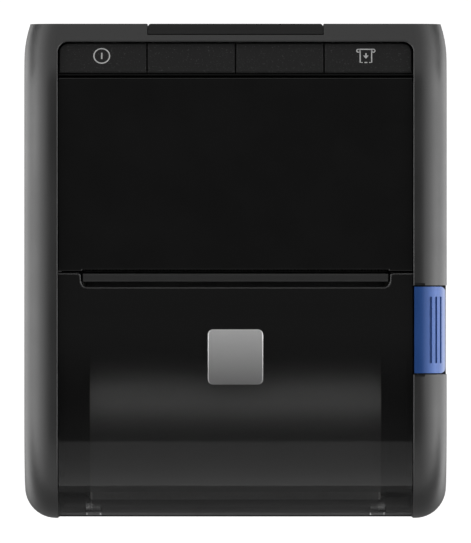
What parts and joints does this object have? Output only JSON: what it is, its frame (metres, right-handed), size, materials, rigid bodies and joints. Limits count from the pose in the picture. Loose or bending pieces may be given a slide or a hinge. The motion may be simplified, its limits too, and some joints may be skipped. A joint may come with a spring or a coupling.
{
  "type": "portable label printer",
  "caption": "Portable thermal label printer on its back: grey side rails, sloped key strip, gloss panel, hinged smoked media cover over a label roll, and a side latch button.",
  "frame": {"origin": "on the surface the printer lies on, under the middle of its casing", "axes": "+X across the printer towards the latch button, +Y from the hinge end to the key end, +Z out of the front face"},
  "size_m": [0.151, 0.177, 0.081],
  "materials": {
    "rail_grey": "fine satin moulded texture, dark grey",
    "black_plastic": "fine moulded texture, black",
    "gloss_black": "polished, black",
    "smoked_window": "polished smoked polycarbonate",
    "key_black": "satin, black",
    "latch_blue": "satin, blue",
    "badge_silver": "brushed and clear coated",
    "cap_grey": "satin, near black",
    "label_paper": "coated label stock",
    "core_board": "spiral wound board",
    "platen_rubber": "ground",
    "foot_rubber": "matt",
    "steel": "ground or drawn",
    "sheet_steel": "zinc plated sheet",
    "aluminium": "extruded",
    "head_ceramic": "glazed line on a fired bar",
    "brass": "turned and knurled",
    "gear_white": "acetal",
    "gear_black": "acetal",
    "board_green": "solder mask",
    "spring_steel": "drawn wire",
    "cell_wrap": null,
    "ribbon": "polyimide flat cable"
  },
  "bodies": {
    "root": {"front_housing": "rail_grey", "back_case": "rail_grey", "rubber_feet": "foot_rubber", "accessory_inserts": "brass", "case_screws": "steel", "media_tub": "black_plastic", "hinge_pin": "steel", "hinge_clips": "sheet_steel", "hinge_springs": "spring_steel", "idler_stud": "steel", "stepper_motor": "sheet_steel", "print_frame": "sheet_steel", "head_pivot_pin": "steel", "head_springs": "spring_steel", "top_panel": "gloss_black", "tear_bar": "steel", "key_deck": "black_plastic", "keypad_board": "board_green", "key_switches": "steel", "latch_spring": "spring_steel", "battery_sleeve": "black_plastic", "battery_contacts": "brass", "main_board": "board_green", "radio_module": "sheet_steel", "usb_port": "steel", "dc_jack": "black_plastic", "head_ribbon": "ribbon", "media_sensor": "black_plastic", "holder_spring": "spring_steel"},
    "cover": {"media_cover": "smoked_window", "cover_badge": "badge_silver", "platen_carrier": "black_plastic", "platen_bushings": "gear_white"},
    "platen": {"platen_shaft": "steel", "platen_rubber": "platen_rubber", "platen_gear": "gear_black"},
    "idler": {"idler_gear": "gear_white"},
    "pinion": {"motor_pinion": "brass"},
    "print_head": {"head_ceramic": "head_ceramic", "head_heatsink": "aluminium"},
    "latch_button": {"latch_button": "latch_blue"},
    "latch": {"latch_shaft": "steel", "latch_crank": "gear_black", "latch_hook_left": "sheet_steel", "latch_hook_right": "sheet_steel"},
    "roll": {"label_roll": "label_paper", "roll_core": "core_board"},
    "holder_right": {"roll_holder_right": "black_plastic"},
    "holder_left": {"roll_holder_left": "black_plastic"},
    "holder_pinion": {"holder_pinion": "gear_white"},
    "battery": {"battery_case": "black_plastic", "battery_cells": "cell_wrap", "battery_end_cap": "cap_grey"},
    "port_door": {"port_door": "foot_rubber"},
    "power_key": {"power_key": "key_black"},
    "left_blank_key": {"left_blank_key": "key_black"},
    "right_blank_key": {"right_blank_key": "key_black"},
    "feed_key": {"feed_key": "key_black"}
  },
  "joints": [
    {"name": "cover_hinge", "type": "hinge", "parent": "root", "child": "cover", "pos_m": [0, -0.08329, 0.02495], "axis": [1, 0, 0], "range_deg": [0, 95]},
    {"name": "platen_spin", "type": "hinge", "parent": "cover", "child": "platen", "pos_m": [0, -0.007, 0.07], "axis": [1, 0, 0], "continuous": true},
    {"name": "idler_spin", "type": "hinge", "parent": "root", "child": "idler", "pos_m": [0, 0.00154, 0.05553], "axis": [1, 0, 0], "continuous": true},
    {"name": "pinion_spin", "type": "hinge", "parent": "root", "child": "pinion", "pos_m": [0, 0.01118, 0.04404], "axis": [1, 0, 0], "continuous": true},
    {"name": "head_pivot", "type": "hinge", "parent": "root", "child": "print_head", "pos_m": [0, 0.0027, 0.0585], "axis": [-1, 0, 0], "range_deg": [0, 1.5], "stiffness_Nm_per_rad": 20, "deforming": ["head_springs"]},
    {"name": "latch_press", "type": "slide", "parent": "root", "child": "latch_button", "axis": [0, 0, -1], "range_m": [0, 0.004], "stiffness_N_per_m": 1500, "deforming": ["latch_spring"]},
    {"name": "latch_turn", "type": "hinge", "parent": "root", "child": "latch", "pos_m": [0, 0.01, 0.06], "axis": [-1, 0, 0], "range_deg": [0, 14.4]},
    {"name": "roll_spin", "type": "hinge", "parent": "root", "child": "roll", "pos_m": [0, -0.052, 0.0445], "axis": [1, 0, 0], "continuous": true},
    {"name": "holder_right_slide", "type": "slide", "parent": "root", "child": "holder_right", "axis": [1, 0, 0], "range_m": [0, 0.005], "stiffness_N_per_m": 400},
    {"name": "holder_left_slide", "type": "slide", "parent": "root", "child": "holder_left", "axis": [-1, 0, 0], "range_m": [0, 0.005]},
    {"name": "holder_pinion_turn", "type": "hinge", "parent": "root", "child": "holder_pinion", "pos_m": [0, -0.052, 0.0056], "axis": [0, 0, -1], "range_deg": [0, 36]},
    {"name": "battery_slide", "type": "slide", "parent": "root", "child": "battery", "axis": [0, 1, 0], "range_m": [0, 0.085]},
    {"name": "port_door_hinge", "type": "hinge", "parent": "root", "child": "port_door", "pos_m": [-0.0744, 0.0435, 0.0646], "axis": [0, 1, 0], "range_deg": [0, 95]},
    {"name": "power_key_press", "type": "slide", "parent": "root", "child": "power_key", "axis": [0, -0.3746, -0.9272], "range_m": [0, 0.001], "stiffness_N_per_m": 400},
    {"name": "left_blank_key_press", "type": "slide", "parent": "root", "child": "left_blank_key", "axis": [0, -0.3746, -0.9272], "range_m": [0, 0.001], "stiffness_N_per_m": 400},
    {"name": "right_blank_key_press", "type": "slide", "parent": "root", "child": "right_blank_key", "axis": [0, -0.3746, -0.9272], "range_m": [0, 0.001], "stiffness_N_per_m": 400},
    {"name": "feed_key_press", "type": "slide", "parent": "root", "child": "feed_key", "axis": [0, -0.3746, -0.9272], "range_m": [0, 0.001], "stiffness_N_per_m": 400}
  ],
  "couplings": [
    {"joint": "idler_spin", "follows": "platen_spin", "ratio": -0.55556},
    {"joint": "pinion_spin", "follows": "platen_spin", "ratio": 1.4286},
    {"joint": "latch_turn", "follows": "latch_press", "rad_per_m": 62.5},
    {"joint": "holder_left_slide", "follows": "holder_right_slide", "ratio": 1},
    {"joint": "holder_pinion_turn", "follows": "holder_right_slide", "rad_per_m": 125}
  ]
}
